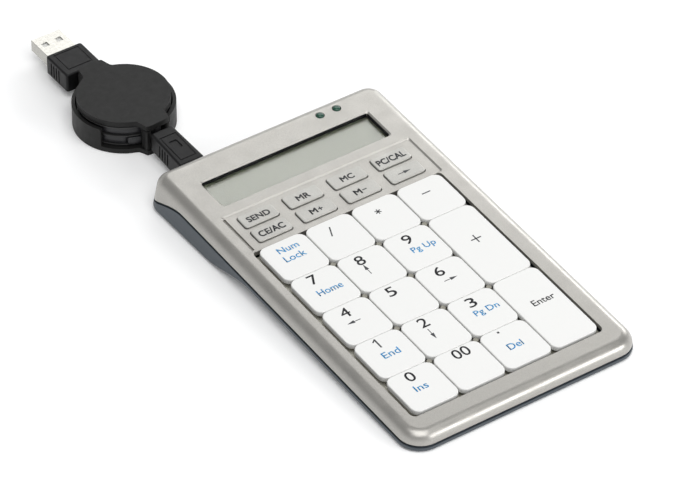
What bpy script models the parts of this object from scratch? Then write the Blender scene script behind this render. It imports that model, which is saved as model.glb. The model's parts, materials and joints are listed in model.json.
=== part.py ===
"""Slim numeric keypad with a calculator display and a retractable USB cable.

Deck coordinates are millimetres turned to metres by MM: +X to the right, +Y to the
rear, +Z out of the top face, z = 0 on the top face. The "deck" empty tilts them.
World Z = 0 is the table.
"""
import math

import bmesh
import bpy
from mathutils import Vector

MM = 0.001

# ---- driving dimensions ---------------------------------------------------------
TILT = math.radians(2.5)          # top face rises to the rear
CASE_WIDTH = 94.3 * MM
CASE_LENGTH = 160.2 * MM
FRONT_CORNER = 8.5 * MM           # corner radii in plan
REAR_CORNER = 6.0 * MM
FLARE = 0.15                      # walls lean out below the rounded edge
EDGE_ROUND = 4.5 * MM             # quarter round along the top edge
FRONT_HEIGHT = 6.98 * MM          # top face to table at the front edge
WALL = 2.0 * MM
DECK_THICK = 1.6 * MM
FLOOR_THICK = 1.2 * MM
PART_GAP = 0.3 * MM               # between pieces that touch
PARTING_DEPTH = 4.2 * MM          # silver edge below the top face, front and sides
SKIRT_RISE = 7.4 * MM             # extra depth of the silver skirt at the rear
SKIRT_START = 59.0 * MM
SKIRT_END = 86.0 * MM
BASE_DEPTH = 6.5 * MM             # underside of the thin front part
HUMP_START = 17.0 * MM
HUMP_END = 43.0 * MM
HUMP_CLEARANCE = 0.9 * MM         # hump underside above the table
GROOVE_DROP = 1.0 * MM            # shadow groove under the silver edge
GROOVE_DEPTH = 0.9 * MM

KEY_PITCH_X = 19.05 * MM
KEY_PITCH_Y = 19.05 * MM
KEYS_SHIFT = -0.55 * MM           # the key field sits left of the middle
GRID_REAR = 26.3 * MM             # rear edge of the rear row of keys
COLUMN_GAP = 0.45 * MM
ROW_GAP = 0.3 * MM
KEY_TOP = 0.2 * MM                # key top above the deck
KEY_HEIGHT = 2.0 * MM
KEY_SKIN = 1.0 * MM
KEY_CORNER = 3.0 * MM
WELL_LEFT = -40.3 * MM
WELL_RIGHT = 38.3 * MM
WELL_FRONT = -70.05 * MM
WELL_REAR = 26.6 * MM

PANEL_HALF = 39.1 * MM
PANEL_REAR = 46.7 * MM
PANEL_DEPTH = 0.55 * MM
PANEL_THICK = 1.8 * MM
FN_SIZE = (14.1 * MM, 6.5 * MM)
FN_COLUMNS = [-27.8 * MM, -9.27 * MM, 9.27 * MM, 27.8 * MM]
FN_ROWS = [41.15 * MM, 32.75 * MM]
FN_TOP = 0.05 * MM
FN_CORNER = 1.1 * MM
FN_FLANGE = 0.75 * MM             # flange that keeps the key under the panel
FN_FLANGE_TOP = -2.65 * MM
FN_FLANGE_THICK = 0.5 * MM

LCD_HALF = 35.1 * MM
LCD_FRONT = 51.9 * MM
LCD_REAR = 66.4 * MM
LCD_CHAMFER = 0.5 * MM
LED_X = [20.0 * MM, 27.05 * MM]
LED_Y = 73.75 * MM
LED_RADIUS = 1.5 * MM

PORT_X = -28.6 * MM
PORT_Z = -8.0 * MM                # port axis below the top face
REEL_X = -29.8 * MM               # reel axis, world
REEL_Y = 124.3 * MM
REEL_LOW = 0.2 * MM
REEL_TURN = math.radians(3.4)     # the reel lies slightly turned
REEL_RADIUS = 18.7 * MM
REEL_CAP_RADIUS = 16.9 * MM
REEL_MOUTH = 21.2 * MM            # reach of the two cable mouths
REEL_WALL_INNER = 17.4 * MM
REEL_WALL_TOP = 9.3 * MM
REEL_WALL_SPANS = [(-66, 28), (114, 208)]   # degrees, the rest stays open
USB_X = -32.5 * MM                # plug axis, world
USB_Y = 146.4 * MM
CABLE_WIDTH = 2.8 * MM
CABLE_THICK = 0.75 * MM
COIL_INNER = 11.2 * MM
COIL_OUTER = 16.6 * MM

# ---- worked out -----------------------------------------------------------------
HALF_LENGTH = CASE_LENGTH / 2
CORNER_STEPS = 12
DECK_Y = -0.335 * MM              # centres the tilted case on the origin
DECK_Z = math.sin(TILT) * HALF_LENGTH + math.cos(TILT) * FRONT_HEIGHT
BOARD_TOP = -6.0 * MM
BOARD_THICK = 1.0 * MM

COLLECTIONS = {}


# ---- scene helpers --------------------------------------------------------------
def clear_scene():
    for item in list(bpy.data.objects):
        bpy.data.objects.remove(item, do_unlink=True)
    for name in ("numeric_keypad", "cutters"):
        found = bpy.data.collections.get(name) or bpy.data.collections.new(name)
        if name not in bpy.context.scene.collection.children:
            bpy.context.scene.collection.children.link(found)
        COLLECTIONS[name] = found


def material(name, color, roughness, metallic=0.0, alpha=1.0):
    mat = bpy.data.materials.get(name) or bpy.data.materials.new(name)
    mat.use_nodes = True
    shader = mat.node_tree.nodes["Principled BSDF"]
    shader.inputs["Base Color"].default_value = (*color, 1.0)
    shader.inputs["Roughness"].default_value = roughness
    shader.inputs["Metallic"].default_value = metallic
    shader.inputs["Alpha"].default_value = alpha
    return mat


def add_object(name, bm, look=None, parent=None, location=(0, 0, 0)):
    """Turn a bmesh into a named part, or into a cutter when it has no look."""
    mesh = bpy.data.meshes.new(name)
    bmesh.ops.recalc_face_normals(bm, faces=bm.faces)
    bm.to_mesh(mesh)
    bm.free()
    item = bpy.data.objects.new(name, mesh)
    item.location = location
    item.parent = parent
    if look is None:
        COLLECTIONS["cutters"].objects.link(item)
        item.hide_render = True
        item.display_type = "WIRE"
    else:
        COLLECTIONS["numeric_keypad"].objects.link(item)
        mesh.materials.append(material(name, *look))
    return item


def boolean(target, other, operation="DIFFERENCE"):
    modifier = target.modifiers.new(other.name, "BOOLEAN")
    modifier.object = other
    modifier.operation = operation
    modifier.solver = "EXACT"


# ---- solids ---------------------------------------------------------------------
def box(low, high, corner=0.0, segments=6):
    """Box between two corners, with its upright edges rounded."""
    low = Vector(low)
    high = Vector(high)
    bm = bmesh.new()
    bmesh.ops.create_cube(bm, size=1.0)
    bmesh.ops.scale(bm, vec=high - low, verts=bm.verts)
    bmesh.ops.translate(bm, vec=(low + high) / 2, verts=bm.verts)
    if corner:
        upright = [e for e in bm.edges if abs(e.verts[0].co.z - e.verts[1].co.z) > MM / 100]
        bmesh.ops.bevel(bm, geom=upright, offset=corner, segments=segments,
                        profile=0.5, affect="EDGES", clamp_overlap=True)
    return bm


def soften(bm, side, width, segments):
    """Round the rim of the top (+1), the bottom (-1) or both (0) flat faces."""
    levels = [v.co.z for v in bm.verts]
    wanted = {1: [max(levels)], -1: [min(levels)], 0: [max(levels), min(levels)]}[side]
    rim = [e for e in bm.edges
           if any(all(abs(v.co.z - z) < MM / 1000 for v in e.verts) for z in wanted)]
    bmesh.ops.bevel(bm, geom=rim, offset=width, segments=segments,
                    profile=0.5, affect="EDGES", clamp_overlap=True)
    return bm


def cylinder(centre, radius, low, high, sides=24):
    bm = bmesh.new()
    bmesh.ops.create_cone(bm, cap_ends=True, segments=sides, radius1=radius,
                          radius2=radius, depth=high - low)
    bmesh.ops.translate(bm, vec=(centre[0], centre[1], (low + high) / 2), verts=bm.verts)
    return bm


def merged(*parts):
    """Join separate solids of one cutter into one bmesh."""
    whole = bmesh.new()
    for part in parts:
        mesh = bpy.data.meshes.new("joined")
        part.to_mesh(mesh)
        part.free()
        whole.from_mesh(mesh)
        bpy.data.meshes.remove(mesh)
    return whole


def flat_solid(outlines, low, high):
    """Extruded 2D curve outlines, the later ones cutting holes, as a welded bmesh."""
    curve = bpy.data.curves.new("outline", "CURVE")
    curve.dimensions = "2D"
    curve.fill_mode = "BOTH"
    curve.extrude = (high - low) / 2
    for outline in outlines:
        spline = curve.splines.new("POLY")
        spline.points.add(len(outline) - 1)
        for point, (x, y) in zip(spline.points, outline):
            point.co = (x, y, 0, 1)
        spline.use_cyclic_u = True
    holder = bpy.data.objects.new("outline", curve)
    COLLECTIONS["cutters"].objects.link(holder)
    graph = bpy.context.evaluated_depsgraph_get()
    mesh = bpy.data.meshes.new_from_object(holder.evaluated_get(graph))
    bm = bmesh.new()
    bm.from_mesh(mesh)
    bmesh.ops.remove_doubles(bm, verts=bm.verts, dist=MM / 10000)
    bmesh.ops.translate(bm, vec=(0, 0, (low + high) / 2), verts=bm.verts)
    bpy.data.objects.remove(holder)
    bpy.data.curves.remove(curve)
    bpy.data.meshes.remove(mesh)
    return bm


def side_solid(profile, half_width):
    """Extrude a (y, z) profile across the whole width."""
    bm = flat_solid([profile], -half_width, half_width)
    for vert in bm.verts:
        vert.co = Vector((vert.co.z, vert.co.x, vert.co.y))
    return bm


def turned(name, profile, look, location, steps=48):
    """Turn an (r, z) profile, listed up its outer side, about the object's own Z axis."""
    bm = bmesh.new()
    verts = [bm.verts.new((r, 0, z)) for r, z in reversed(profile)]
    for first, second in zip(verts, verts[1:] + verts[:1]):
        bm.edges.new((first, second))
    item = add_object(name, bm, look, location=location)
    screw = item.modifiers.new("turn", "SCREW")
    screw.steps = steps
    screw.render_steps = steps
    screw.use_merge_vertices = True
    screw.merge_threshold = 0.00001
    return item


# ---- shape formulas -------------------------------------------------------------
def smooth(t):
    t = min(1.0, max(0.0, t))
    return t * t * (3 - 2 * t)


def parting(y):
    """Depth of the silver edge: level, then sweeping down at the rear."""
    return -PARTING_DEPTH - SKIRT_RISE * smooth((y - SKIRT_START) / (SKIRT_END - SKIRT_START))


def table(y):
    """The table's height in deck coordinates, under the deck point y."""
    return -FRONT_HEIGHT - (y + HALF_LENGTH) * math.tan(TILT)


def underside(y):
    hump = table(y) + HUMP_CLEARANCE
    return -BASE_DEPTH + (hump + BASE_DEPTH) * smooth((y - HUMP_START) / (HUMP_END - HUMP_START))


def stations(*spans):
    """Y stations: each span is (first, last, steps)."""
    found = []
    for first, last, steps in spans:
        found += [first + (last - first) * i / steps for i in range(steps + 1)]
    return sorted({round(y, 7) for y in found})


PARTING_STATIONS = stations((-90 * MM, SKIRT_START, 1), (SKIRT_START, SKIRT_END, 14),
                            (SKIRT_END, 90 * MM, 1))
FLOOR_STATIONS = stations((-90 * MM, HUMP_START, 1), (HUMP_START, HUMP_END, 14),
                          (HUMP_END, 90 * MM, 1))


def region(line, stations_y, level):
    """Closed (y, z) region between a line and a level."""
    return [(y, line(y)) for y in stations_y] + [(stations_y[-1], level), (stations_y[0], level)]


def reel_outline(radius, neck_half, mouth, count=120):
    """Circle with a flat-ended neck at both ends of Y, joined by soft waists."""
    points = []
    for i in range(count):
        angle = 2 * math.pi * (i + 0.5) / count
        across = abs(math.cos(angle))
        along = abs(math.sin(angle))
        neck = (along / mouth) ** 14 + (across / neck_half) ** 14
        reach = (radius ** 14 + neck ** -1.0) ** (1 / 14)
        points.append((reach * math.cos(angle), reach * math.sin(angle)))
    return points


# ---- case -----------------------------------------------------------------------
SILVER = ((0.42, 0.41, 0.39), 0.38, 0.55)
DARK = ((0.055, 0.068, 0.082), 0.5)
BLACK = ((0.02, 0.02, 0.02), 0.5)
STEEL = ((0.55, 0.55, 0.53), 0.3, 1.0)

SIDE_SCREWS = [(-42.2 * MM, 60.0 * MM), (42.2 * MM, 60.0 * MM)]
FRONT_SCREWS = [(-22.0 * MM, -73.9 * MM), (22.0 * MM, -73.9 * MM)]
SCREW_LEVELS = {60.0 * MM: (-11.9 * MM, -10.8 * MM, -5.0 * MM, -9.3 * MM),
                -73.9 * MM: (-6.35 * MM, -5.6 * MM, -2.6 * MM, -4.9 * MM)}


def case_outline(inset):
    """Case outline in plan, moved in by inset."""
    points = []
    for quarter, (side, end) in enumerate(((1, 1), (-1, 1), (-1, -1), (1, -1))):
        radius = (REAR_CORNER if end > 0 else FRONT_CORNER) - inset
        centre = (side * (CASE_WIDTH / 2 - inset - radius), end * (HALF_LENGTH - inset - radius))
        for step in range(CORNER_STEPS + 1):
            angle = math.pi / 2 * (quarter + step / CORNER_STEPS)
            points.append((centre[0] + radius * math.cos(angle),
                           centre[1] + radius * math.sin(angle)))
    return points


def case_solid(inset, low, high, edge=0.0, segments=8):
    """Solid with the case's leaning walls and, when asked, a rounded top edge."""
    levels = [(low, inset + FLARE * (EDGE_ROUND + low)), (-EDGE_ROUND, inset)]
    for step in range(segments + 1):
        turn = math.pi / 2 * step / segments
        level = high - edge * (1 - math.sin(turn))
        if level - levels[-1][0] > MM / 1000:
            levels.append((level, inset + edge * (1 - math.cos(turn))))
    bm = bmesh.new()
    rings = [[bm.verts.new((x, y, z)) for x, y in case_outline(grow)] for z, grow in levels]
    for below, above in zip(rings, rings[1:]):
        for i in range(len(below)):
            j = (i + 1) % len(below)
            bm.faces.new((below[i], below[j], above[j], above[i]))
    bm.faces.new(rings[0][::-1])
    bm.faces.new(rings[-1])
    return bm


def flared_box(low, high, corner, grow):
    """Rounded box whose top is wider than its bottom by grow on every side."""
    bm = box(low, high, corner, 5)
    middle = (Vector(low) + Vector(high)) / 2
    for vert in bm.verts:
        if vert.co.z > middle.z:
            vert.co.x += math.copysign(grow, vert.co.x - middle.x)
            vert.co.y += math.copysign(grow, vert.co.y - middle.y)
    return bm


def top_case(deck):
    case = add_object("top_case", case_solid(0, -12 * MM, 0, EDGE_ROUND, 10), SILVER, deck)
    below = side_solid(region(parting, PARTING_STATIONS, -25 * MM), CASE_WIDTH)
    boolean(case, add_object("cut_below_parting", below, parent=deck))
    cavity = case_solid(WALL, -25 * MM, -DECK_THICK, EDGE_ROUND - WALL, 6)
    boolean(case, add_object("cut_top_cavity", cavity, parent=deck))
    plate = box((-41 * MM, 24.6 * MM, -PANEL_DEPTH - PANEL_THICK), (41 * MM, 48 * MM, -1.3 * MM))
    boolean(case, add_object("add_panel", plate, parent=deck), "UNION")
    bosses = [cylinder((x, y), 2.0 * MM, SCREW_LEVELS[y][3], -1.3 * MM, 20)
              for x, y in SIDE_SCREWS + FRONT_SCREWS]
    boolean(case, add_object("add_bosses", merged(*bosses), parent=deck), "UNION")
    sockets = [cylinder((x, y), 1.1 * MM, -15 * MM, SCREW_LEVELS[y][2] + 0.3 * MM, 16)
               for x, y in SIDE_SCREWS + FRONT_SCREWS]
    boolean(case, add_object("cut_boss_holes", merged(*sockets), parent=deck))
    well = box((WELL_LEFT, WELL_FRONT, -20 * MM), (WELL_RIGHT, WELL_REAR, 5 * MM), 2.2 * MM)
    boolean(case, add_object("cut_key_well", well, parent=deck))
    recess = flared_box((-PANEL_HALF, WELL_REAR, -PANEL_DEPTH), (PANEL_HALF, PANEL_REAR, PANEL_DEPTH),
                        1.0 * MM, 2 * PANEL_DEPTH)
    boolean(case, add_object("cut_panel_recess", recess, parent=deck))
    half_x = FN_SIZE[0] / 2 + 0.25 * MM
    half_y = FN_SIZE[1] / 2 + 0.25 * MM
    holes = [box((x - half_x, y - half_y, -5 * MM), (x + half_x, y + half_y, 5 * MM),
                 FN_CORNER + 0.2 * MM, 5)
             for x in FN_COLUMNS for y in FN_ROWS]
    boolean(case, add_object("cut_function_holes", merged(*holes), parent=deck))
    window = box((-LCD_HALF, LCD_FRONT, -5 * MM), (LCD_HALF, LCD_REAR, 5 * MM), 1.2 * MM, 5)
    chamfer = flared_box((-LCD_HALF, LCD_FRONT, -LCD_CHAMFER), (LCD_HALF, LCD_REAR, LCD_CHAMFER),
                         1.2 * MM, 2 * LCD_CHAMFER)
    boolean(case, add_object("cut_window_chamfer", chamfer, parent=deck))
    lamps = [cylinder((x, LED_Y), LED_RADIUS + 0.2 * MM, -5 * MM, 5 * MM, 28) for x in LED_X]
    boolean(case, add_object("cut_window_and_lamps", merged(window, *lamps), parent=deck))
    port = box((PORT_X - 4.2 * MM, 70 * MM, PORT_Z - 2.15 * MM),
               (PORT_X + 4.2 * MM, 90 * MM, PORT_Z + 2.15 * MM))
    boolean(case, add_object("cut_port", port, parent=deck))


def bottom_case(deck):
    base = add_object("bottom_case", case_solid(0, -20 * MM, 0), DARK, deck)
    floor = side_solid(region(underside, FLOOR_STATIONS, -30 * MM), CASE_WIDTH)
    boolean(base, add_object("cut_under_base", floor, parent=deck))
    edge = base.modifiers.new("foot_edge", "BEVEL")
    edge.width = 0.5 * MM
    edge.segments = 2
    edge.limit_method = "ANGLE"
    edge.angle_limit = math.radians(60)
    above = side_solid(region(lambda y: parting(y) - PART_GAP, PARTING_STATIONS, 10 * MM),
                       CASE_WIDTH)
    boolean(base, add_object("cut_above_parting", above, parent=deck))
    groove = side_solid(region(lambda y: parting(y) - GROOVE_DROP, PARTING_STATIONS, 10 * MM),
                        CASE_WIDTH)
    groove = add_object("cut_shadow_groove", groove, parent=deck)
    core = add_object("groove_core", case_solid(GROOVE_DEPTH, -30 * MM, 20 * MM), parent=deck)
    boolean(groove, core)
    boolean(base, groove)
    room = side_solid(region(lambda y: underside(y) + FLOOR_THICK, FLOOR_STATIONS, 10 * MM),
                      CASE_WIDTH)
    cavity = add_object("cut_base_cavity", room, parent=deck)
    inner = add_object("base_cavity_plan", case_solid(WALL, -30 * MM, 20 * MM), parent=deck)
    boolean(cavity, inner, "INTERSECT")
    boolean(base, cavity)
    posts = [cylinder((x, y), 2.7 * MM, underside(y) + 0.6 * MM, SCREW_LEVELS[y][3] - PART_GAP, 20)
             for x, y in SIDE_SCREWS]
    boolean(base, add_object("add_posts", merged(*posts), parent=deck), "UNION")
    heads = []
    shafts = []
    for x, y in SIDE_SCREWS + FRONT_SCREWS:
        heads.append(cylinder((x, y), 2.2 * MM, -20 * MM, SCREW_LEVELS[y][1] + 0.15 * MM, 24))
        shafts.append(cylinder((x, y), 1.15 * MM, -21 * MM, 0, 16))
    boolean(base, add_object("cut_screw_heads", merged(*heads), parent=deck))
    boolean(base, add_object("cut_screw_shafts", merged(*shafts), parent=deck))


def screws(deck):
    names = ["rear_left", "rear_right", "front_left", "front_right"]
    for name, (x, y) in zip(names, SIDE_SCREWS + FRONT_SCREWS):
        low, head_top, tip, _ = SCREW_LEVELS[y]
        item = turned("case_screw_" + name,
                      [(0, low), (1.9 * MM, low), (1.9 * MM, head_top), (0.85 * MM, head_top),
                       (0.85 * MM, tip), (0, tip)], STEEL, (x, y, 0), 16)
        item.parent = deck


def feet():
    """Rubber pads, level with the table."""
    for name, x, y, length in [("rear_left", -31, 62, 8), ("rear_right", 31, 62, 8),
                               ("front_left", -36, -71.5, 5), ("front_right", 36, -71.5, 5)]:
        pad = soften(box((-6 * MM, -length / 2 * MM, 0), (6 * MM, length / 2 * MM, 0.55 * MM),
                         2.2 * MM, 5), -1, 0.15 * MM, 1)
        add_object("foot_" + name, pad, ((0.03, 0.03, 0.032), 0.8), location=(x * MM, y * MM, 0))


# ---- inside ---------------------------------------------------------------------
def display(deck):
    window = box((-36.6 * MM, 50.6 * MM, -2.7 * MM), (36.6 * MM, 67.8 * MM, -1.9 * MM), 0.8 * MM, 3)
    add_object("lcd_window", window, ((0.6, 0.63, 0.6), 0.08, 0.0, 0.35), deck)
    panel = box((-36.2 * MM, 51 * MM, -5 * MM), (36.2 * MM, 67.4 * MM, -3 * MM))
    add_object("lcd_panel", panel, ((0.36, 0.37, 0.29), 0.35), deck)


def electronics(deck):
    x_edge = 39.9 * MM
    rear = 76.6 * MM
    front = 30.2 * MM
    notch = (PORT_X - 4.3 * MM, PORT_X + 4.3 * MM)
    notch_y = 69.6 * MM
    outline = [(-x_edge, front), (x_edge, front), (x_edge, rear), (notch[1], rear),
               (notch[1], notch_y), (notch[0], notch_y), (notch[0], rear), (-x_edge, rear)]
    board = flat_solid([outline], BOARD_TOP - BOARD_THICK, BOARD_TOP)
    add_object("main_board", board, ((0.02, 0.12, 0.05), 0.45), deck)
    chip_top = BOARD_TOP - BOARD_THICK - PART_GAP
    chip = box((-6 * MM, 52 * MM, chip_top - 1.5 * MM), (6 * MM, 64 * MM, chip_top), 0.6 * MM, 2)
    add_object("controller_chip", chip, ((0.02, 0.02, 0.022), 0.5), deck)
    for name, x in zip(("left", "right"), LED_X):
        lamp = cylinder((x, LED_Y), LED_RADIUS, BOARD_TOP + PART_GAP, 0.55 * MM, 28)
        soften(lamp, 1, 0.9 * MM, 4)
        add_object("led_" + name, lamp, ((0.02, 0.16, 0.07), 0.12), deck)


def keyboard_layers(deck):
    def sheet(low, high, margin):
        return box((WELL_LEFT + margin, WELL_FRONT + margin, low),
                   (WELL_RIGHT - margin, WELL_REAR - margin, high), 1.5 * MM, 3)
    add_object("key_backplate", sheet(-5.1 * MM, -4.8 * MM, -0.8 * MM), STEEL, deck)
    add_object("key_membrane", sheet(-4.6 * MM, -4.4 * MM, -0.6 * MM),
               ((0.08, 0.09, 0.08), 0.5), deck)
    domes = add_object("key_dome_sheet", sheet(-4.2 * MM, -4.0 * MM, -0.6 * MM),
                       ((0.12, 0.117, 0.1), 0.7), deck)
    cones = []
    for _, column, row, span in MAIN_KEYS:
        x, y = key_centre(column, row, span)
        cone = bmesh.new()
        bmesh.ops.create_cone(cone, cap_ends=True, segments=16, radius1=3.4 * MM,
                              radius2=2.2 * MM, depth=1.0 * MM)
        bmesh.ops.translate(cone, vec=(x, y, -3.6 * MM), verts=cone.verts)
        cones.append(cone)
    boolean(domes, add_object("add_domes", merged(*cones), parent=deck), "UNION")
    mat = add_object("function_dome_sheet",
                     box((-36 * MM, 30.4 * MM, -5.7 * MM), (36 * MM, 45.6 * MM, -5.2 * MM), 1 * MM, 2),
                     ((0.2, 0.2, 0.19), 0.7), deck)
    cones = []
    for x in FN_COLUMNS:
        for y in FN_ROWS:
            cone = bmesh.new()
            bmesh.ops.create_cone(cone, cap_ends=True, segments=16, radius1=1.9 * MM,
                                  radius2=1.3 * MM, depth=1.1 * MM)
            bmesh.ops.translate(cone, vec=(x, y, -4.85 * MM), verts=cone.verts)
            cones.append(cone)
    boolean(mat, add_object("add_small_domes", merged(*cones), parent=deck), "UNION")


# ---- keys -----------------------------------------------------------------------
# name, column, rear row, rows covered
MAIN_KEYS = [("num_lock", 0, 0, 1), ("divide", 1, 0, 1), ("multiply", 2, 0, 1), ("minus", 3, 0, 1),
             ("7", 0, 1, 1), ("8", 1, 1, 1), ("9", 2, 1, 1), ("plus", 3, 1, 2),
             ("4", 0, 2, 1), ("5", 1, 2, 1), ("6", 2, 2, 1),
             ("1", 0, 3, 1), ("2", 1, 3, 1), ("3", 2, 3, 1), ("enter", 3, 3, 2),
             ("0", 0, 4, 1), ("00", 1, 4, 1), ("point", 2, 4, 1)]
FN_NAMES = [("send", "recall", "clear_memory", "mode"), ("clear", "add_memory", "subtract", "arrow")]


def key_centre(column, row, span):
    x = KEYS_SHIFT + (column - 1.5) * KEY_PITCH_X
    y = GRID_REAR - (row + span / 2) * KEY_PITCH_Y
    return x, y


def hollow_below(bm, wall, depth):
    """Sink the bottom face inside a wall, which leaves an open cap."""
    low = min(v.co.z for v in bm.verts)
    bottom = [f for f in bm.faces if all(abs(v.co.z - low) < MM / 1000 for v in f.verts)]
    bmesh.ops.inset_region(bm, faces=bottom, thickness=wall, use_even_offset=True)
    grown = bmesh.ops.extrude_face_region(bm, geom=bottom)
    bmesh.ops.delete(bm, geom=bottom, context="FACES_ONLY")
    moved = [g for g in grown["geom"] if isinstance(g, bmesh.types.BMVert)]
    bmesh.ops.translate(bm, vec=(0, 0, depth), verts=moved)
    return bm


def main_keys(deck):
    for name, column, row, span in MAIN_KEYS:
        half_x = (KEY_PITCH_X - COLUMN_GAP) / 2
        half_y = (span * KEY_PITCH_Y - ROW_GAP) / 2
        cap = box((-half_x, -half_y, -KEY_HEIGHT), (half_x, half_y, 0), KEY_CORNER, 5)
        soften(cap, 1, 0.35 * MM, 2)
        hollow_below(cap, 0.9 * MM, KEY_HEIGHT - KEY_SKIN)
        x, y = key_centre(column, row, span)
        add_object("key_" + name, cap, ((0.8, 0.8, 0.78), 0.45), deck, (x, y, KEY_TOP))


def function_keys(deck):
    for y, names in zip(FN_ROWS, FN_NAMES):
        for x, name in zip(FN_COLUMNS, names):
            half_x = FN_SIZE[0] / 2 + FN_FLANGE
            half_y = FN_SIZE[1] / 2 + FN_FLANGE
            cap = box((-half_x, -half_y, FN_FLANGE_TOP - FN_FLANGE_THICK - FN_TOP),
                      (half_x, half_y, FN_FLANGE_TOP - FN_TOP), FN_CORNER + FN_FLANGE, 4)
            top = [f for f in cap.faces if f.calc_center_median().z > FN_FLANGE_TOP - FN_TOP - MM / 1000]
            bmesh.ops.inset_region(cap, faces=top, thickness=FN_FLANGE, use_even_offset=True)
            grown = bmesh.ops.extrude_face_region(cap, geom=top)
            bmesh.ops.delete(cap, geom=top, context="FACES_ONLY")
            moved = [g for g in grown["geom"] if isinstance(g, bmesh.types.BMVert)]
            bmesh.ops.translate(cap, vec=(0, 0, FN_TOP - FN_FLANGE_TOP), verts=moved)
            soften(cap, 1, 0.3 * MM, 3)
            add_object("function_key_" + name, cap, SILVER, deck, (x, y, FN_TOP))


# ---- cable ----------------------------------------------------------------------
def usb_port(deck):
    """Mini-B socket in the rear wall and the plug in it, both along the deck's Y."""
    rear = HALF_LENGTH - 0.3 * MM
    socket = add_object("mini_usb_socket", box((-3.95 * MM, -9.2 * MM, -2 * MM),
                                               (3.95 * MM, 0, 2 * MM)),
                        STEEL, deck, (PORT_X, rear, PORT_Z))
    mouth = box((-3.6 * MM, -8.4 * MM, -1.65 * MM), (3.6 * MM, 2 * MM, 1.65 * MM))
    boolean(socket, add_object("cut_socket", mouth, parent=deck, location=(PORT_X, rear, PORT_Z)))
    plug_y = HALF_LENGTH + 1.4 * MM
    plug = add_object("mini_b_shell", box((-3.3 * MM, -7.0 * MM, -1.35 * MM),
                                          (3.3 * MM, -0.3 * MM, 1.35 * MM)),
                      STEEL, deck, (PORT_X, plug_y, PORT_Z))
    throat = box((-2.95 * MM, -8 * MM, -1.0 * MM), (2.95 * MM, -1.5 * MM, 1.0 * MM))
    boolean(plug, add_object("cut_mini_throat", throat, parent=deck,
                             location=(PORT_X, plug_y, PORT_Z)))
    mould = box((-5.1 * MM, 0, -3.8 * MM), (5.1 * MM, 20.3 * MM, 3.8 * MM), 1.0 * MM, 4)
    for vert in mould.verts:
        vert.co.x *= 1 - 0.12 * vert.co.y / (20.3 * MM)
    soften(mould, 0, 0.7 * MM, 3)
    add_object("mini_b_overmould", mould, BLACK, deck, (PORT_X, plug_y, PORT_Z))


def wall_sector(first, last, steps=24):
    """Upright piece of the reel's round wall between two angles in degrees."""
    angles = [math.radians(first + (last - first) * i / steps) for i in range(steps + 1)]
    outer = [(REEL_RADIUS * math.cos(a), REEL_RADIUS * math.sin(a)) for a in angles]
    inner = [(REEL_WALL_INNER * math.cos(a), REEL_WALL_INNER * math.sin(a)) for a in angles]
    return flat_solid([outer + inner[::-1]], 1.7 * MM, REEL_WALL_TOP)


def reel():
    """Two-sided cable reel lying on the table; its axis is upright."""
    place = (REEL_X, REEL_Y, REEL_LOW)
    lower = flat_solid([reel_outline(REEL_RADIUS, 5.6 * MM, REEL_MOUTH)], 0, 1.9 * MM)
    soften(lower, -1, 1.5 * MM, 4)
    shell = add_object("reel_bottom_shell", lower, BLACK, location=place)
    ribs = [box((sx * 4.2 * MM - 1.0 * MM, sy * 19.2 * MM - 1.8 * MM, 1 * MM),
                (sx * 4.2 * MM + 1.0 * MM, sy * 19.2 * MM + 1.8 * MM, 10.1 * MM), 0.6 * MM, 2)
            for sx in (-1, 1) for sy in (-1, 1)]
    post = cylinder((0, 0), 1.9 * MM, 1 * MM, 10.0 * MM, 24)
    walls = [wall_sector(first, last) for first, last in REEL_WALL_SPANS]
    posts = add_object("add_reel_posts", merged(post, *ribs, *walls), location=place)
    posts.rotation_euler.z = REEL_TURN
    boolean(shell, posts, "UNION")
    upper = flat_solid([reel_outline(REEL_CAP_RADIUS, 5.4 * MM, REEL_MOUTH - 0.2 * MM)],
                       10.4 * MM, 12.5 * MM)
    soften(upper, 1, 1.0 * MM, 3)
    cap = add_object("reel_top_shell", upper, BLACK, location=place)
    shell.rotation_euler.z = REEL_TURN
    cap.rotation_euler.z = REEL_TURN
    spool()


def spool():
    place = (REEL_X, REEL_Y, REEL_LOW)
    hub = COIL_INNER - 0.3 * MM
    rim = COIL_OUTER + 0.3 * MM
    bore = 2.3 * MM
    cavity = 9.8 * MM
    levels = [z * MM for z in (2.2, 2.7, 5.9, 6.3, 9.5, 10.0)]
    cavity_floor = 3.2 * MM
    profile = [(bore, levels[0]), (rim, levels[0]), (rim, levels[1]), (hub, levels[1]),
               (hub, levels[2]), (rim, levels[2]), (rim, levels[3]), (hub, levels[3]),
               (hub, levels[4]), (rim, levels[4]), (rim, levels[5]), (cavity, levels[5]),
               (cavity, cavity_floor), (bore, cavity_floor)]
    turned("reel_spool", profile, BLACK, place)
    for name, low in (("cable_winding_mini", 2.9 * MM), ("cable_winding_usb", 6.5 * MM)):
        high = low + CABLE_WIDTH
        turned(name, [(COIL_INNER, low), (COIL_OUTER, low), (COIL_OUTER, high), (COIL_INNER, high)],
               BLACK, place)
    turns = 5
    steps = 22
    strip = 0.25 * MM
    count = turns * steps + 1
    ray = [(2 * math.pi * i / steps, 2.8 * MM + 6.3 * MM * i / (turns * steps)) for i in range(count)]
    inner = [(r * math.cos(a), r * math.sin(a)) for a, r in ray]
    outer = [((r + strip) * math.cos(a), (r + strip) * math.sin(a)) for a, r in reversed(ray)]
    spring = flat_solid([inner + outer], 3.8 * MM, 9.4 * MM)
    add_object("reel_power_spring", spring, STEEL, location=place)


def stub(name, x, y_low, y_high, level):
    """Short flat cable between a winding and its plug, standing on edge."""
    flat = box((-CABLE_THICK / 2, y_low, -CABLE_WIDTH / 2), (CABLE_THICK / 2, y_high, CABLE_WIDTH / 2))
    add_object(name, flat, BLACK, location=(x, REEL_Y, REEL_LOW + level))


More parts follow.
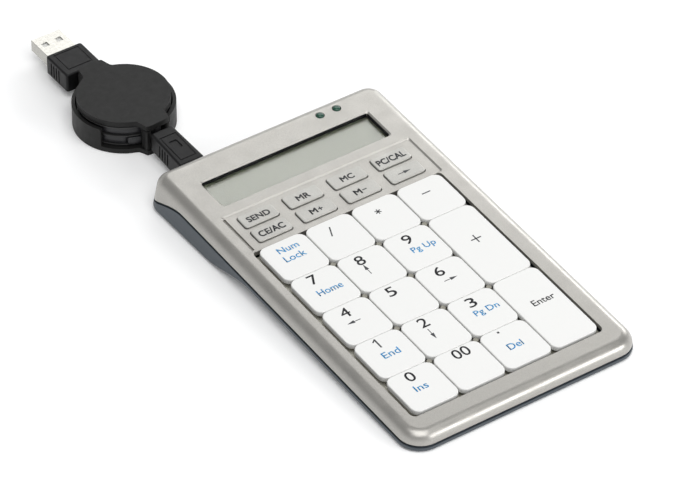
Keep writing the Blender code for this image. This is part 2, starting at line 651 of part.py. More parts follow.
def usb_plug():
    """USB-A plug beyond the reel, along world Y."""
    place = (USB_X, USB_Y, REEL_LOW + 6.4 * MM)
    mould = box((-7.4 * MM, 0, -3.9 * MM), (7.4 * MM, 14.4 * MM, 3.9 * MM), 1.0 * MM, 4)
    soften(mould, 0, 0.7 * MM, 3)
    add_object("usb_a_overmould", mould, BLACK, location=place)
    shell = add_object("usb_a_shell", box((-6.0 * MM, 14.7 * MM, -2.25 * MM),
                                          (6.0 * MM, 26.9 * MM, 2.25 * MM)), STEEL, location=place)
    throat = box((-5.65 * MM, 16.5 * MM, -1.9 * MM), (5.65 * MM, 30 * MM, 1.9 * MM))
    boolean(shell, add_object("cut_usb_throat", throat, location=place))
    windows = [box((sx * 2.9 * MM - 1.1 * MM, 20.9 * MM, -5 * MM),
                   (sx * 2.9 * MM + 1.1 * MM, 23.1 * MM, 5 * MM)) for sx in (-1, 1)]
    boolean(shell, add_object("cut_usb_windows", merged(*windows), location=place))
    tongue = box((-5.35 * MM, 16.8 * MM, 0.1 * MM), (5.35 * MM, 26.3 * MM, 1.6 * MM))
    add_object("usb_a_tongue", tongue, ((0.75, 0.75, 0.72), 0.5), location=place)


def build():
    clear_scene()
    deck = bpy.data.objects.new("deck", None)
    deck.location = (0, DECK_Y, DECK_Z)
    deck.rotation_euler = (TILT, 0, 0)
    COLLECTIONS["numeric_keypad"].objects.link(deck)
    top_case(deck)
    bottom_case(deck)
    screws(deck)
    feet()
    display(deck)
    electronics(deck)
    keyboard_layers(deck)
    main_keys(deck)
    function_keys(deck)
    usb_port(deck)
    reel()
    stub("cable_stub_mini", PORT_X, -22.0 * MM, -17.6 * MM, 4.3 * MM)
    stub("cable_stub_usb", USB_X, 17.6 * MM, 21.8 * MM, 7.9 * MM)
    usb_plug()
    bpy.context.view_layer.update()


build()
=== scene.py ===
"""Looks of the numeric keypad: shells, keys, legends, display, plugs, reel and flat cable.

Lengths are metres, mostly written as millimetres times MM. Deck coordinates have
z = 0 on the keypad's tilted top face, +Y to the rear and the origin at its middle.
"""
import json
import math

import bmesh
import bpy
from mathutils import Matrix, Vector

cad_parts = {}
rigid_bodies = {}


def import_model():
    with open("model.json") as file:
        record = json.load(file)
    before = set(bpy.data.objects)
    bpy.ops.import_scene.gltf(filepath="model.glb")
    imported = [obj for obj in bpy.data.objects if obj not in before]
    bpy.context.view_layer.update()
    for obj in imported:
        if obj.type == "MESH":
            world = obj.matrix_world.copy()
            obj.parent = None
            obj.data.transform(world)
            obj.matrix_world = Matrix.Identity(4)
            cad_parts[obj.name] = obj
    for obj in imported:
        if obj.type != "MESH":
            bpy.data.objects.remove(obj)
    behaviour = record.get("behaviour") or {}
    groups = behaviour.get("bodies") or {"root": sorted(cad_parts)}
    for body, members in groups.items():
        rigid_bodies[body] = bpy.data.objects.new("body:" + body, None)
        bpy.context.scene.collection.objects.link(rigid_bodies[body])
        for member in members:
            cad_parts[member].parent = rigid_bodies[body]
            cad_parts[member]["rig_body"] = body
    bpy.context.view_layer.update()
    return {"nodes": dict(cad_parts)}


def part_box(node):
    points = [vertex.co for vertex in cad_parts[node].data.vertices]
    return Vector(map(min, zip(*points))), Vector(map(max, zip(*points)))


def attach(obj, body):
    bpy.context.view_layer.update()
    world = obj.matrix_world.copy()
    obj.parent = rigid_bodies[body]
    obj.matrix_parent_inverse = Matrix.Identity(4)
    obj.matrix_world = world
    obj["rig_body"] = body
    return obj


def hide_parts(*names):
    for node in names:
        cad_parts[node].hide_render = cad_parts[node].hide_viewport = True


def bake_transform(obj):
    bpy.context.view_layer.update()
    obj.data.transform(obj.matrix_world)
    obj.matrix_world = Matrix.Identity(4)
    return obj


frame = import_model()

MM = 0.001


def mm(*values):
    """Millimetres as metres."""
    return [value * MM for value in values]


# ---- places shared with the CAD ---------------------------------------------------
TILT = math.radians(2.5)
HALF_LENGTH = 80.1 * MM
FRONT_HEIGHT = 6.98 * MM
DECK_Y = -0.335 * MM
DECK_Z = math.sin(TILT) * HALF_LENGTH + math.cos(TILT) * FRONT_HEIGHT
DECK = Matrix.Translation((0, DECK_Y, DECK_Z)) @ Matrix.Rotation(TILT, 4, "X")

REEL_AXIS = Vector(mm(-29.8, 124.3, 0.2))
CABLE_WIDTH = 2.8 * MM
CABLE_THICK = 0.75 * MM
CABLE_SOFT = 0.22 * MM
COIL_INNER = 11.2 * MM
COIL_OUTER = 16.6 * MM
COIL_TURNS = 4.62
COIL_LEVELS = {"mini": 4.3 * MM, "usb": 7.9 * MM}
COIL_STEPS = 48             # points in each turn
LEAD_ANGLE = math.radians(62)
LEAD_GAP = 0.1 * MM         # between the coil and the start of a lead
LEAD_BEND_END = 19.3 * MM
LEAD_BEND_PULL = mm(4.3, 2.0)
PLUG_GAP = 0.15 * MM

BODY_OF = {name: item["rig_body"] for name, item in frame["nodes"].items()}


# ---- camera, light, floor -----------------------------------------------------------
CAMERA_PLACE = (-0.72597, -1.03264, 1.07218)
CAMERA_AZIMUTH = math.radians(-34.34)
CAMERA_ELEVATION = math.radians(39.90)
CAMERA_LENS = 253.47

# name: place, target, size, watts
LIGHTS = {
    "overhead_box": ((-0.15, -0.35, 1.1), (0, 0, 0), (1.0, 1.0), 9.0),
    "side_box": ((0.95, 0.50, 0.40), (0, 0, 0), (0.5, 0.3), 2.6),
    "front_box": ((0.52, -0.90, 0.50), (0, -0.05, 0), (0.6, 0.30), 4.2),
    "rear_right_card": ((0.6, 0.85, 0.75), (0, 0, 0), (0.7, 0.5), 2.5),
}
FLOOR_HALF = 6.0
FLOOR_GLOW = 0.07


def camera():
    data = bpy.data.cameras.new("camera")
    data.sensor_width = 36
    data.lens = CAMERA_LENS
    data.clip_start = 0.01
    data.clip_end = 50
    item = bpy.data.objects.new("camera", data)
    item.location = CAMERA_PLACE
    item.rotation_euler = (math.pi / 2 - CAMERA_ELEVATION, 0, CAMERA_AZIMUTH)
    bpy.context.scene.collection.objects.link(item)
    bpy.context.scene.camera = item


def area_light(name, location, target, size, power):
    data = bpy.data.lights.new(name, "AREA")
    data.shape = "RECTANGLE"
    data.size, data.size_y = size
    data.energy = power
    item = bpy.data.objects.new(name, data)
    item.location = location
    item.rotation_euler = (Vector(target) - Vector(location)).to_track_quat("-Z", "Y").to_euler()
    bpy.context.scene.collection.objects.link(item)


def sky():
    """White room: bright near the horizon and below, dimmer higher up."""
    world = bpy.data.worlds.new("studio")
    world.use_nodes = True
    nodes = world.node_tree.nodes
    links = world.node_tree.links
    back = nodes["Background"]
    place = nodes.new("ShaderNodeTexCoord")
    part = nodes.new("ShaderNodeSeparateXYZ")
    links.new(place.outputs["Generated"], part.inputs["Vector"])
    height = nodes.new("ShaderNodeMapRange")
    height.interpolation_type = "SMOOTHSTEP"
    height.inputs["From Min"].default_value = 0.12
    height.inputs["From Max"].default_value = 0.55
    height.inputs["To Min"].default_value = 0.95
    height.inputs["To Max"].default_value = 0.30
    links.new(part.outputs["Z"], height.inputs["Value"])
    links.new(height.outputs["Result"], back.inputs["Strength"])
    back.inputs["Color"].default_value = (0.98, 0.99, 1.0, 1)
    bpy.context.scene.world = world


def studio():
    sky()
    bpy.context.scene.view_settings.view_transform = "Standard"
    for name, (place, target, size, power) in LIGHTS.items():
        area_light(name, place, target, size, power)
    mesh = bpy.data.meshes.new("floor")
    bm = bmesh.new()
    bmesh.ops.create_grid(bm, x_segments=1, y_segments=1, size=FLOOR_HALF)
    bm.to_mesh(mesh)
    bm.free()
    floor = bpy.data.objects.new("floor", mesh)
    bpy.context.scene.collection.objects.link(floor)
    white = surface("floor_white", (0.96, 0.96, 0.96), 0.8, vary=0.0, grain=0.0, rough_vary=0.0)
    shader = white.node_tree.nodes["Principled BSDF"]
    shader.inputs["Emission Color"].default_value = (1, 1, 1, 1)
    shader.inputs["Emission Strength"].default_value = FLOOR_GLOW
    mesh.materials.append(white)


# ---- materials ----------------------------------------------------------------------
MATS = {}
GRAIN_DEPTH = 0.02 * MM
FLAKE_CONTRAST = 0.10
ACRYLIC_IOR = 1.49


def surface(name, color, roughness, metallic=0.0, vary=0.05, scale=400.0, grain=0.15,
            grain_scale=6000.0, rough_vary=0.06, coat=0.0, specular=0.5):
    """Principled material with mottled colour, uneven roughness and a fine bump."""
    mat = bpy.data.materials.new(name)
    mat.use_nodes = True
    nodes = mat.node_tree.nodes
    links = mat.node_tree.links
    shader = nodes["Principled BSDF"]
    shader.inputs["Base Color"].default_value = (*color, 1)
    shader.inputs["Metallic"].default_value = metallic
    shader.inputs["Roughness"].default_value = roughness
    shader.inputs["Coat Weight"].default_value = coat
    shader.inputs["Coat Roughness"].default_value = 0.15
    shader.inputs["Specular IOR Level"].default_value = specular
    place = nodes.new("ShaderNodeTexCoord")
    if vary or rough_vary:
        mottle = nodes.new("ShaderNodeTexNoise")
        mottle.inputs["Scale"].default_value = scale
        mottle.inputs["Detail"].default_value = 6
        mottle.inputs["Roughness"].default_value = 0.65
        links.new(place.outputs["Object"], mottle.inputs["Vector"])
    if vary:
        tint = nodes.new("ShaderNodeMix")
        tint.data_type = "RGBA"
        tint.inputs["A"].default_value = (*[c * (1 - vary) for c in color], 1)
        tint.inputs["B"].default_value = (*[min(1, c * (1 + vary)) for c in color], 1)
        links.new(mottle.outputs["Fac"], tint.inputs["Factor"])
        links.new(tint.outputs["Result"], shader.inputs["Base Color"])
    if rough_vary:
        spread = nodes.new("ShaderNodeMapRange")
        spread.inputs["From Min"].default_value = 0.3
        spread.inputs["From Max"].default_value = 0.7
        spread.inputs["To Min"].default_value = max(0.02, roughness - rough_vary)
        spread.inputs["To Max"].default_value = roughness + rough_vary
        links.new(mottle.outputs["Fac"], spread.inputs["Value"])
        links.new(spread.outputs["Result"], shader.inputs["Roughness"])
    if grain:
        fine = nodes.new("ShaderNodeTexNoise")
        fine.inputs["Scale"].default_value = grain_scale
        fine.inputs["Detail"].default_value = 3
        bump = nodes.new("ShaderNodeBump")
        bump.inputs["Strength"].default_value = grain
        bump.inputs["Distance"].default_value = GRAIN_DEPTH
        links.new(place.outputs["Object"], fine.inputs["Vector"])
        links.new(fine.outputs["Fac"], bump.inputs["Height"])
        links.new(bump.outputs["Normal"], shader.inputs["Normal"])
    return mat


def flake_lacquer(name, color, roughness):
    """Silver lacquer: tiny bright and dark flakes under a thin coat."""
    mat = surface(name, color, roughness, metallic=0.72, vary=0.04, scale=150, grain=0.1,
                  grain_scale=9000, coat=0.15)
    nodes = mat.node_tree.nodes
    links = mat.node_tree.links
    shader = nodes["Principled BSDF"]
    cells = nodes.new("ShaderNodeTexVoronoi")
    cells.inputs["Scale"].default_value = 7000
    place = nodes["Texture Coordinate"]
    links.new(place.outputs["Object"], cells.inputs["Vector"])
    tint = nodes.new("ShaderNodeMix")
    tint.data_type = "RGBA"
    tint.inputs["A"].default_value = (*[c * (1 - FLAKE_CONTRAST) for c in color], 1)
    tint.inputs["B"].default_value = (*[min(1, c * (1 + FLAKE_CONTRAST)) for c in color], 1)
    grey = nodes.new("ShaderNodeSeparateColor")
    links.new(cells.outputs["Color"], grey.inputs["Color"])
    links.new(grey.outputs["Red"], tint.inputs["Factor"])
    links.new(tint.outputs["Result"], shader.inputs["Base Color"])
    return mat


def clear_material(name, color, roughness):
    mat = surface(name, color, roughness, vary=0.0, grain=0.04, grain_scale=900, rough_vary=0.02)
    shader = mat.node_tree.nodes["Principled BSDF"]
    shader.inputs["Transmission Weight"].default_value = 1.0
    shader.inputs["IOR"].default_value = ACRYLIC_IOR
    return mat


def make_materials():
    MATS.update(
        silver=flake_lacquer("silver_lacquer", (0.40, 0.388, 0.362), 0.36),
        key_silver=flake_lacquer("key_lacquer", (0.43, 0.425, 0.40), 0.40),
        base=surface("base_plastic", (0.050, 0.062, 0.074), 0.42, vary=0.08, grain=0.35,
                     grain_scale=3500),
        white=surface("key_white_plastic", (0.76, 0.76, 0.745), 0.42, vary=0.015, scale=120,
                      grain=0.12, grain_scale=5000),
        ink=surface("ink_dark", (0.035, 0.037, 0.042), 0.55, vary=0.1, grain=0.1),
        blue_ink=surface("ink_blue", (0.09, 0.47, 0.84), 0.55, vary=0.06, grain=0.1),
        steel=surface("screw_zinc", (0.55, 0.55, 0.53), 0.32, metallic=1.0, vary=0.08),
        rubber=surface("foot_rubber", (0.022, 0.022, 0.023), 0.8, vary=0.2, grain=0.5),
        glass=clear_material("window_clear", (0.97, 0.98, 0.96), 0.03),
        display=surface("display_face", (0.285, 0.30, 0.228), 0.34, vary=0.05, scale=60, grain=0.05,
                        coat=0.4),
        board=surface("solder_mask", (0.02, 0.12, 0.05), 0.4, vary=0.2),
        chip=surface("chip_epoxy", (0.02, 0.02, 0.022), 0.55, vary=0.1, grain=0.4),
        led=surface("led_lens", (0.004, 0.055, 0.032), 0.3, vary=0.15, grain=0.03, coat=0.15),
        plate=surface("plate_steel", (0.5, 0.5, 0.48), 0.35, metallic=1.0),
        film=surface("membrane_film", (0.08, 0.09, 0.08), 0.4),
        # painted shade: the studs' olive-grey stands in for the shaded plate seen in the gaps between
        # key corners
        stud=surface("key_stud", (0.27, 0.26, 0.22), 0.7, vary=0.08),
        dome=surface("dome_rubber", (0.60, 0.585, 0.51), 0.7, vary=0.08),
        tin=surface("socket_tin", (0.62, 0.61, 0.58), 0.28, metallic=1.0, vary=0.06),
        nickel=surface("plug_nickel", (0.47, 0.462, 0.43), 0.27, metallic=1.0, vary=0.04,
                       scale=900, grain=0.12),
        gold=surface("contact_gold", (0.80, 0.58, 0.25), 0.25, metallic=1.0, vary=0.05),
        tongue=surface("tongue_plastic", (0.75, 0.75, 0.72), 0.45, vary=0.03),
        mould=surface("mould_black", (0.006, 0.006, 0.0064), 0.42, vary=0.2, grain=0.2,
                      grain_scale=4500, specular=0.22),
        reel=surface("reel_black", (0.008, 0.008, 0.0077), 0.5, vary=0.06, grain=0.25,
                     grain_scale=5200, specular=0.25),
        spool=surface("spool_black", (0.018, 0.018, 0.018), 0.45, vary=0.15, grain=0.3),
        spring=surface("spring_steel", (0.35, 0.35, 0.37), 0.3, metallic=1.0),
        cable=surface("cable_black", (0.014, 0.014, 0.016), 0.34, vary=0.2, grain=0.25,
                      grain_scale=3000),
    )


# ---- mesh helpers ---------------------------------------------------------------------
WELD = 0.0005 * MM
FLAT = math.radians(0.4)


def add_piece(name, bm, mat, body, smooth=True, matrix=None):
    """A new piece in world coordinates that rides on a body."""
    mesh = bpy.data.meshes.new(name)
    bmesh.ops.recalc_face_normals(bm, faces=bm.faces)
    if matrix is not None:
        bmesh.ops.transform(bm, matrix=matrix, verts=bm.verts)
    bm.to_mesh(mesh)
    bm.free()
    if smooth:
        mesh.shade_smooth()
    item = bpy.data.objects.new(name, mesh)
    bpy.context.scene.collection.objects.link(item)
    mesh.materials.append(MATS[mat])
    if body:
        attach(item, body)
    return item


def node_bmesh(node):
    """A welded copy of a CAD node's mesh with its flat faces whole again."""
    bm = bmesh.new()
    bm.from_mesh(frame["nodes"][node].data)
    bmesh.ops.remove_doubles(bm, verts=bm.verts, dist=WELD)
    bmesh.ops.dissolve_limit(bm, angle_limit=FLAT, verts=bm.verts, edges=bm.edges)
    return bm


def round_edges(item, width, segments=2, angle=32):
    bevel = item.modifiers.new("edges", "BEVEL")
    bevel.width = width
    bevel.segments = segments
    bevel.limit_method = "ANGLE"
    bevel.angle_limit = math.radians(angle)
    bevel.use_clamp_overlap = True
    item.modifiers.new("normals", "WEIGHTED_NORMAL").keep_sharp = False


def apply_modifiers(item):
    graph = bpy.context.evaluated_depsgraph_get()
    mesh = bpy.data.meshes.new_from_object(item.evaluated_get(graph))
    item.modifiers.clear()
    item.data = mesh


def carve(item, cutters):
    """Cut shapes out of a piece, and leave nothing of the cutters behind."""
    made = []
    for index, bm in enumerate(cutters):
        mesh = bpy.data.meshes.new("cutter")
        bmesh.ops.recalc_face_normals(bm, faces=bm.faces)
        bm.to_mesh(mesh)
        bm.free()
        tool = bpy.data.objects.new("cutter", mesh)
        bpy.context.scene.collection.objects.link(tool)
        cut = item.modifiers.new(f"cut_{index}", "BOOLEAN")
        cut.object = tool
        made.append(tool)
    bpy.context.view_layer.update()
    apply_modifiers(item)
    for tool in made:
        bpy.data.objects.remove(tool)


def refine(node, mat, width=0.2 * MM, segments=2, cutters=(), angle=32):
    """Stand in for a CAD node with the same shape, softer edges and smooth normals."""
    piece = add_piece(node + "_body", node_bmesh(node), mat, BODY_OF[node])
    if cutters:
        carve(piece, cutters)
    round_edges(piece, width, segments, angle)
    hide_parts(node)
    return piece


def paint(node, mat):
    """Give a CAD node that stays as it is a better material."""
    data = frame["nodes"][node].data
    data.materials.clear()
    data.materials.append(MATS[mat])


def box(low, high, corner=0.0, segments=6, matrix=None):
    """A box between two corners, with its upright edges rounded if asked."""
    low = Vector(low)
    high = Vector(high)
    bm = bmesh.new()
    bmesh.ops.create_cube(bm, size=1.0)
    bmesh.ops.scale(bm, vec=high - low, verts=bm.verts)
    bmesh.ops.translate(bm, vec=(low + high) / 2, verts=bm.verts)
    if corner:
        upright = [e for e in bm.edges if abs(e.verts[0].co.z - e.verts[1].co.z) > 0.001 * MM]
        bmesh.ops.bevel(bm, geom=upright, offset=corner, segments=segments, profile=0.5,
                        affect="EDGES", clamp_overlap=True)
    if matrix is not None:
        bmesh.ops.transform(bm, matrix=matrix, verts=bm.verts)
    return bm


def joined(parts):
    """Several meshes as one."""
    whole = bmesh.new()
    for part in parts:
        mesh = bpy.data.meshes.new("part")
        part.to_mesh(mesh)
        part.free()
        whole.from_mesh(mesh)
        bpy.data.meshes.remove(mesh)
    return whole


def deck_box(node):
    """Lowest and highest corner of a CAD node in deck coordinates."""
    points = [DECK.inverted() @ v.co for v in frame["nodes"][node].data.vertices]
    low = Vector([min(p[i] for p in points) for i in range(3)])
    high = Vector([max(p[i] for p in points) for i in range(3)])
    return low, high


# ---- cable ------------------------------------------------------------------------------
def ribbon(points, level):
    """Flat cable standing on edge along points in plan: a swept rounded strip."""
    half_t = CABLE_THICK / 2
    half_w = CABLE_WIDTH / 2
    section = []
    for sign_t, sign_w, start in ((1, 1, 0), (-1, 1, 90), (-1, -1, 180), (1, -1, 270)):
        for step in range(4):
            a = math.radians(start + step * 30)
            section.append((sign_t * (half_t - CABLE_SOFT) + CABLE_SOFT * math.cos(a),
                            sign_w * (half_w - CABLE_SOFT) + CABLE_SOFT * math.sin(a)))
    bm = bmesh.new()
    rings = []
    for i, point in enumerate(points):
        ahead = points[min(i + 1, len(points) - 1)]
        behind = points[max(i - 1, 0)]
        along = (ahead - behind).normalized()
        across = Vector((-along.y, along.x, 0))
        middle = Vector((point.x, point.y, level))
        rings.append([bm.verts.new(middle + across * t + Vector((0, 0, w))) for t, w in section])
    for first, second in zip(rings, rings[1:]):
        for j in range(len(section)):
            k = (j + 1) % len(section)
            bm.faces.new((first[j], first[k], second[k], second[j]))
    bm.faces.new(rings[0])
    bm.faces.new(rings[-1])
    return bm


def bezier(p0, p1, p2, p3, count):
    found = []
    for i in range(count + 1):
        t = i / count
        found.append(p0 * (1 - t) ** 3 + p1 * 3 * t * (1 - t) ** 2
                     + p2 * 3 * t * t * (1 - t) + p3 * t ** 3)
    return found


def coil_route(spin, level):
    """Spiral on the spool, from its outer end inwards."""
    outer = COIL_OUTER - CABLE_THICK / 2
    inner = COIL_INNER + CABLE_THICK / 2
    steps = int(COIL_TURNS * COIL_STEPS)
    route = []
    for i in range(steps + 1):
        t = i / steps
        angle = LEAD_ANGLE - t * COIL_TURNS * 2 * math.pi
        r = outer + (inner - outer) * t
        flat = spin @ Vector((r * math.cos(angle), r * math.sin(angle), 0))
        route.append(Vector((REEL_AXIS.x + flat.x, REEL_AXIS.y + flat.y, level)))
    return route


def lead_route(spin, across, reach):
    """A bend from the coil's outer end, then straight to the plug."""
    start_r = COIL_OUTER + CABLE_THICK / 2 + LEAD_GAP
    start = Vector((start_r * math.cos(LEAD_ANGLE), start_r * math.sin(LEAD_ANGLE), 0))
    heading = Vector((-math.sin(LEAD_ANGLE), math.cos(LEAD_ANGLE), 0))
    end = Vector((across, LEAD_BEND_END, 0))
    pull_start, pull_end = LEAD_BEND_PULL
    bend = bezier(start, start + heading * pull_start, end - Vector((0, pull_end, 0)), end, 16)
    straight = [Vector((across, end.y + (reach - end.y) * i / 10, 0)) for i in range(1, 11)]
    return [REEL_AXIS + spin @ point for point in bend + straight]


def cables():
    """Each half of the cable: a spiral on the spool and a lead out to its plug."""
    usb_low, usb_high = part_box("usb_a_overmould")
    mini_low, mini_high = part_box("mini_b_overmould")
    halves = (("usb", 1, "usb_plug", (usb_low.x + usb_high.x) / 2, usb_low.y),
              ("mini", -1, "mini_plug", (mini_low.x + mini_high.x) / 2, mini_high.y))
    for name, sign, body, plug_x, plug_end in halves:
        spin = Matrix.Diagonal((sign, sign, 1))
        level = REEL_AXIS.z + COIL_LEVELS[name]
        spiral = coil_route(spin, level)
        coil = add_piece("flat_cable_coil_" + name, ribbon(spiral, level), "cable", "spool")
        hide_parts("cable_winding_" + name)
        across = sign * (plug_x - REEL_AXIS.x)
        reach = sign * (plug_end - REEL_AXIS.y) - PLUG_GAP
        lead = add_piece("flat_cable_lead_" + name, ribbon(lead_route(spin, across, reach), level),
                         "cable", None)
        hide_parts("cable_stub_" + name)
        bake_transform(lead)


# ---- lettering -----------------------------------------------------------------------------
INK_THICK = 0.02 * MM
INK_LIFT = 0.008 * MM
ARROW_SHAFT = 0.3 * MM
ARROW_SPREAD = 1.45 * MM
ARROW_HEAD = 2.9 * MM


def letters(text, width, height, bold=0.04 * MM):
    """Flat lettering as a thin mesh, centred on the origin and fitted to a size."""
    curve = bpy.data.curves.new("letters", "FONT")
    curve.body = text
    curve.size = 1.0
    curve.resolution_u = 4
    curve.extrude = 0.001
    item = bpy.data.objects.new("letters", curve)
    bpy.context.scene.collection.objects.link(item)
    graph = bpy.context.evaluated_depsgraph_get()
    mesh = bpy.data.meshes.new_from_object(item.evaluated_get(graph))
    bm = bmesh.new()
    bm.from_mesh(mesh)
    bpy.data.objects.remove(item)
    bpy.data.curves.remove(curve)
    bpy.data.meshes.remove(mesh)
    low = Vector([min(v.co[i] for v in bm.verts) for i in range(3)])
    high = Vector([max(v.co[i] for v in bm.verts) for i in range(3)])
    size = high - low
    factor = Vector(((width - 2 * bold) / size.x, (height - 2 * bold) / size.y, INK_THICK / size.z))
    bmesh.ops.translate(bm, vec=-(low + high) / 2, verts=bm.verts)
    bmesh.ops.scale(bm, vec=factor, verts=bm.verts)
    copies = []
    for side, end in ((-1, -1), (1, -1), (1, 1), (-1, 1)):
        copy = bm.copy()
        bmesh.ops.translate(copy, vec=(side * bold, end * bold, 0), verts=copy.verts)
        copies.append(copy)
    bm.free()
    return joined(copies)


def bars(pieces):
    """Thin straight strokes: x, y, length and thickness in millimetres, angle in degrees."""
    found = []
    for x, y, length, thick, angle in pieces:
        half = Vector((length * MM / 2, thick * MM / 2, INK_THICK / 2))
        place = Matrix.Translation((x * MM, y * MM, 0)) @ Matrix.Rotation(math.radians(angle), 4, "Z")
        found.append(box(-half, half, matrix=place))
    return joined(found)


def arrow(angle, length=5.4 * MM):
    """Thin shaft with a solid head, pointing at an angle in degrees."""
    bm = bmesh.new()
    half = ARROW_SHAFT / 2
    tip = length / 2
    neck = tip - ARROW_HEAD
    points = [(-tip, -half), (neck, -half), (neck, -ARROW_SPREAD / 2), (tip, 0),
              (neck, ARROW_SPREAD / 2), (neck, half), (-tip, half)]
    verts = [bm.verts.new((x, y, -INK_THICK / 2)) for x, y in points]
    face = bm.faces.new(verts)
    grown = bmesh.ops.extrude_face_region(bm, geom=[face])
    moved = [g for g in grown["geom"] if isinstance(g, bmesh.types.BMVert)]
    bmesh.ops.translate(bm, vec=(0, 0, INK_THICK), verts=moved)
    bmesh.ops.rotate(bm, matrix=Matrix.Rotation(math.radians(angle), 3, "Z"), verts=bm.verts)
    return bm


STROKES = {
    "dash": [(0, 0, 3.5, 0.5, 0)],
    "cross": [(0, 0, 4.1, 0.52, 0), (0, 0, 4.1, 0.52, 90)],
    "slash": [(0, 0, 4.8, 0.5, 68)],
    "star": [(0, 0, 2.5, 0.45, 30), (0, 0, 2.5, 0.45, 90), (0, 0, 2.5, 0.45, 150)],
    "dot": [(0, 0, 0.85, 0.85, 0)],
    "1": [(0.35, 0, 4.6, 0.62, 90), (-0.3, 1.55, 1.6, 0.52, 38)],
}
HEADINGS = {"right": 0, "up": 90, "left": 180, "down": -90}

# text, stroke or arrow; width and height of text; place from the key's centre, in millimetres
LEGENDS = {
    "num_lock": [("Num", 8.2, 2.9, 0.55, 5.0), ("Lock", 8.4, 3.0, 0.35, 0.3)],
    "divide": [("slash", 0, 0, -1.45, 3.8)],
    "multiply": [("star", 0, 0, -0.95, 3.6)],
    "minus": [("dash", 0, 0, -0.25, 2.8)],
    "7": [("7", 3.3, 4.6, -1.25, 6.0), ("Home", 9.8, 3.0, 1.05, -0.9)],
    "8": [("8", 3.4, 4.6, -1.45, 5.3), ("up", 0, 0, -1.75, 0.4)],
    "9": [("9", 3.4, 4.6, -0.75, 5.4), ("Pg Up", 9.6, 3.6, 2.05, -0.7)],
    "plus": [("cross", 0, 0, 0.45, 2.55)],
    "4": [("4", 3.5, 4.6, -1.45, 5.5), ("left", 0, 0, -1.35, 0.2)],
    "5": [("5", 3.4, 4.6, -1.45, 5.7)],
    "6": [("6", 3.4, 4.6, -0.95, 5.2), ("right", 0, 0, 0.45, 0.1)],
    "1": [("1", 0, 0, -1.05, 6.1), ("End", 6.8, 3.0, 0.45, 0.0)],
    "2": [("2", 3.4, 4.6, -1.15, 6.2), ("down", 0, 0, -1.65, 0.1)],
    "3": [("3", 3.4, 4.6, -0.75, 5.6), ("Pg Dn", 9.8, 3.6, 1.75, -0.2)],
    "enter": [("Enter", 9.0, 2.9, 1.65, 3.2)],
    "0": [("0", 3.4, 4.6, -0.85, 6.05), ("Ins", 5.1, 3.0, -0.55, 0.15)],
    "00": [("00", 6.6, 4.6, 1.15, 6.45)],
    "point": [("dot", 0, 0, -1.75, 7.6), ("Del", 5.8, 3.0, -0.35, -0.25)],
}
BLUE = {"Num", "Lock", "Home", "Pg Up", "End", "Pg Dn", "Ins", "Del"}
KEY_GROW = 0.09 * MM        # keys stand closer front to rear than the CAD gap

# text, width and height in millimetres
FUNCTION_LABELS = {
    "send": ("SEND", 9.3, 2.8),
    "recall": ("MR", 5.3, 2.7),
    "clear_memory": ("MC", 5.4, 2.7),
    "mode": ("PC/CAL", 11.6, 3.0),
    "clear": ("CE/AC", 10.5, 3.0),
    "add_memory": ("M", 2.8, 2.7),
    "subtract": ("M", 2.8, 2.7),
    "arrow": ("arrow", 5.2, 0),
}
MINUS_SIGN = (2.8, 0, 1.8, 0.46, 0)
MINUS_UPRIGHT = (2.8, 0, 1.8, 0.46, 90)
FUNCTION_SIGNS = {"add_memory": [MINUS_SIGN, MINUS_UPRIGHT], "subtract": [MINUS_SIGN]}
FUNCTION_BOLD = 0.10 * MM
SIGN_SHIFT = -1.2 * MM      # centres a letter and its sign together

STUD_COLUMNS = ("num_lock", "divide", "multiply")
STUD_ROWS = ("num_lock", "7", "4", "1")
STUD_FULL_COLUMNS = 2
STUD_LAST_COLUMN_ROWS = (0, 2)    # the tall keys cover the others
HALF_GAP_ACROSS = 0.225 * MM
HALF_GAP_ALONG = 0.15 * MM
STUD_LOW_RADIUS = 1.15 * MM
STUD_TOP_RADIUS = 1.0 * MM
STUD_HEIGHT = 3.2 * MM
STUD_MIDDLE = -2.2 * MM


def legend(text, width, height):
    if text in STROKES:
        return bars(STROKES[text])
    if text in HEADINGS:
        return arrow(HEADINGS[text])
    return letters(text, width * MM, height * MM)


def print_on(node, name, bm, x, y, ink):
    """Lay lettering on a key's top face, offset from the key's centre in deck coordinates."""
    low, high = deck_box(node)
    place = DECK @ Matrix.Translation(((low.x + high.x) / 2 + x, (low.y + high.y) / 2 + y,
                                       high.z + INK_LIFT))
    return add_piece(name, bm, ink, BODY_OF[node], smooth=False, matrix=place)


def keys():
    along = DECK.to_3x3() @ Vector((0, 1, 0))
    for name, prints in LEGENDS.items():
        key = refine("key_" + name, "white", 0.12 * MM, 2)
        low, high = deck_box("key_" + name)
        middle = DECK @ ((low + high) / 2)
        for vert in key.data.vertices:
            vert.co += along * math.copysign(KEY_GROW, (vert.co - middle).dot(along))
        for index, (text, width, height, x, y) in enumerate(prints):
            print_on("key_" + name, f"legend_{name}_{index}", legend(text, width, height),
                     x * MM, y * MM, "blue_ink" if text in BLUE else "ink")


def function_keys():
    for name, (text, width, height) in FUNCTION_LABELS.items():
        shift = 0.0
        if text == "arrow":
            bm = arrow(0, width * MM)
        else:
            bm = letters(text, width * MM, height * MM, FUNCTION_BOLD)
        if name in FUNCTION_SIGNS:
            bm = joined([bm, bars(FUNCTION_SIGNS[name])])
            shift = SIGN_SHIFT
        refine("function_key_" + name, "key_silver", 0.15 * MM, 2)
        print_on("function_key_" + name, "label_" + name, bm, shift, 0.0, "ink")


